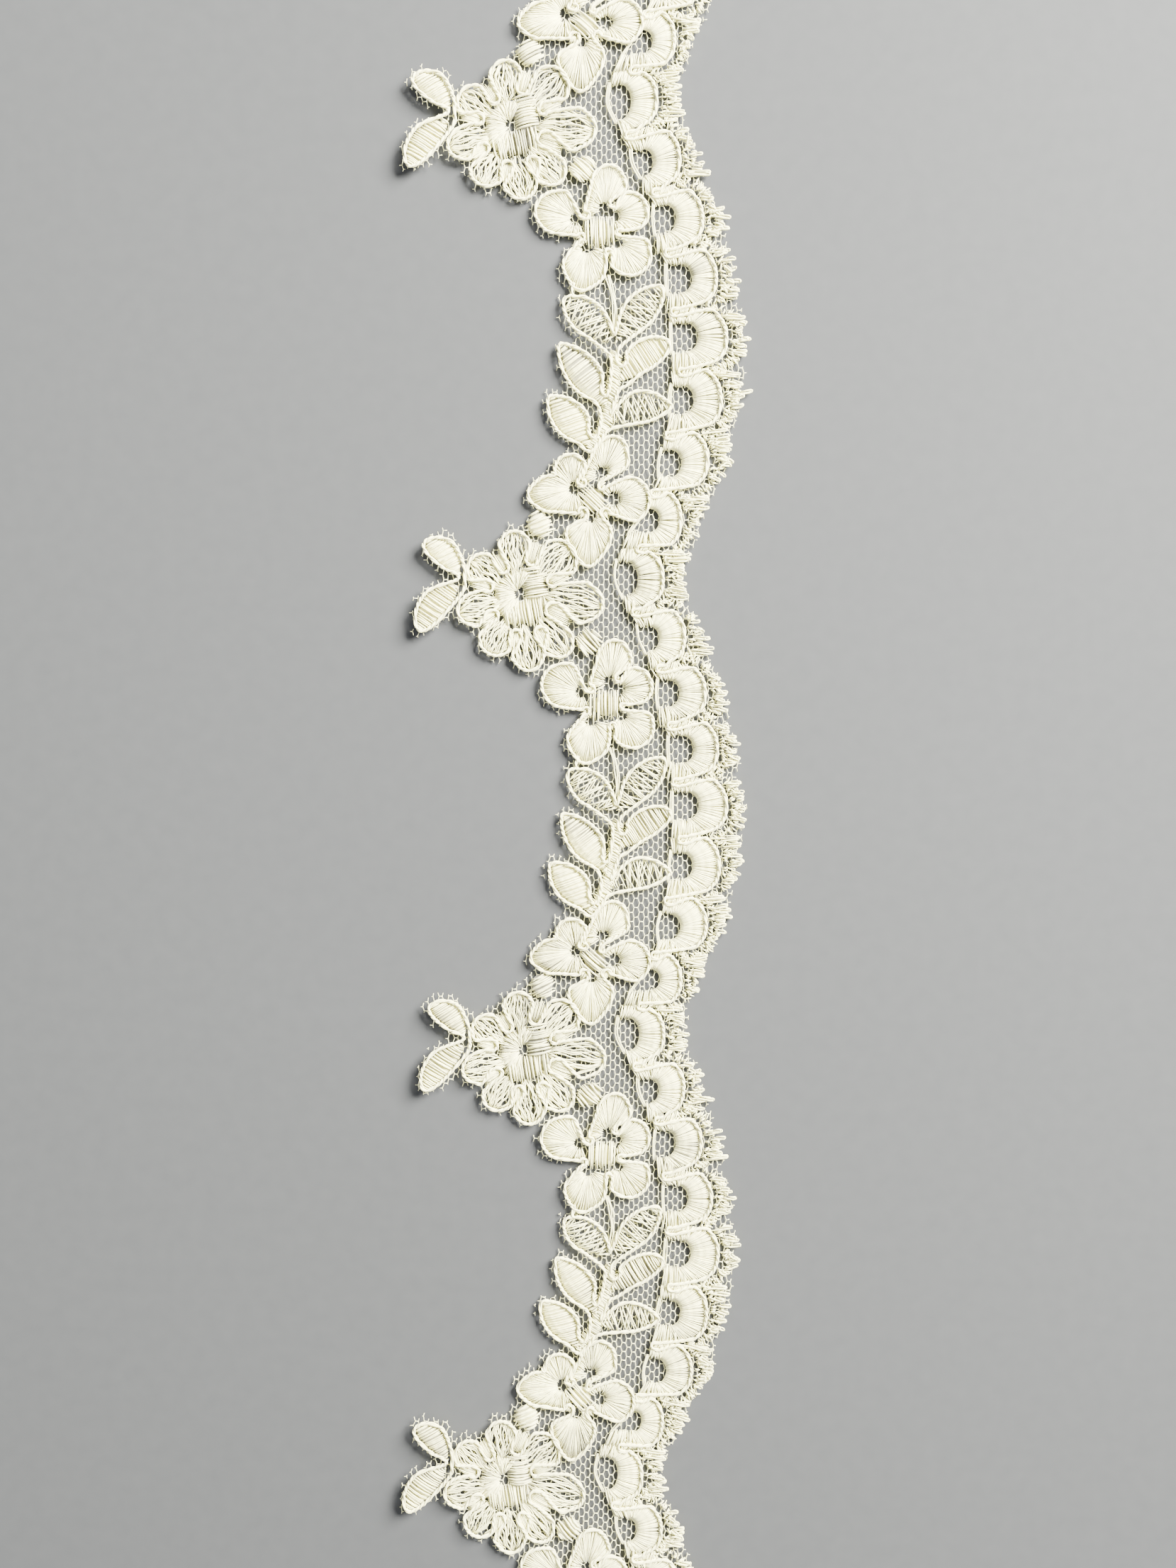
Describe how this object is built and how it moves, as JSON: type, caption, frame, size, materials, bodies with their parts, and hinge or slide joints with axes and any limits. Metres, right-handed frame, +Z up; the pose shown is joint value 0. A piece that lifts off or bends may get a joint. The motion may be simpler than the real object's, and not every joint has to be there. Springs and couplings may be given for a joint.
{
  "type": "lace edging",
  "caption": "Corded lace edging, a cut length lying flat: open roses, small flowers and leaf sprays on hexagonal net, with a scalloped, fringed edge.",
  "frame": {"origin": "middle of the bounding box, on the surface that the lace lies on", "axes": "+Y up the length, as in the picture; +X towards the fringe; +Z up from the surface"},
  "size_m": [0.0764, 0.3652, 0.0036],
  "materials": {
    "net": "matt cotton net",
    "satin_stitch": "satin stitch and couched cord",
    "fringe": "cut and looped thread ends"
  },
  "bodies": {
    "root": {"dot_high_1": "satin_stitch", "dot_high_2": "satin_stitch", "dot_high_3": "satin_stitch", "dot_high_4": "satin_stitch", "dot_low_1": "satin_stitch", "dot_low_2": "satin_stitch", "dot_low_3": "satin_stitch", "dot_low_4": "satin_stitch", "flower_high_1": "satin_stitch", "flower_high_2": "satin_stitch", "flower_high_3": "satin_stitch", "flower_high_4": "satin_stitch", "flower_low_1": "satin_stitch", "flower_low_2": "satin_stitch", "flower_low_3": "satin_stitch", "flower_low_4": "satin_stitch", "fringe": "fringe", "leaf_spray_1": "satin_stitch", "leaf_spray_2": "satin_stitch", "leaf_spray_3": "satin_stitch", "net_ground": "net", "rose_1": "satin_stitch", "rose_2": "satin_stitch", "rose_3": "satin_stitch", "rose_4": "satin_stitch", "rose_leaves_1": "satin_stitch", "rose_leaves_2": "satin_stitch", "rose_leaves_3": "satin_stitch", "rose_leaves_4": "satin_stitch", "scallop_border": "satin_stitch"}
  },
  "joints": []
}
